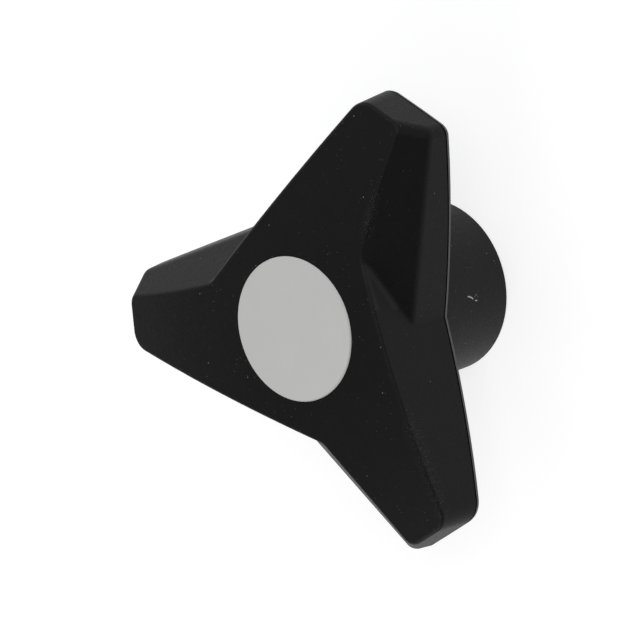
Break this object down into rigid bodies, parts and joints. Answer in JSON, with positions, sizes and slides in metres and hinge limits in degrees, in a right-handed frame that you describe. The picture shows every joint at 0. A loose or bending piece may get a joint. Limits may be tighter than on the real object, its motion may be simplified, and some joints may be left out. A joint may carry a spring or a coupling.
{
  "type": "control knob",
  "caption": "Star-shaped grip knob with swept, beveled arms, a flat round cap in the middle of its face, and a cylindrical hub behind with a tapped bush.",
  "frame": {"origin": "centre of the hub's end face, at the mouth of the tapped hole", "axes": "+Z along the knob's axis, out through the cap; +X along the first arm, with the others at 120 and 240 degrees about +Z; seen from the cap, each arm's bevel is on its clockwise side"},
  "size_m": [0.0516, 0.0589, 0.0298],
  "materials": {
    "knob_body": "black glass-filled polyamide with a fine matte grain",
    "cap": "light grey, smooth and matte",
    "threaded_bush": "turned and knurled"
  },
  "bodies": {
    "root": {"knob_body": "knob_body", "cap": "cap", "threaded_bush": "threaded_bush"}
  },
  "joints": []
}
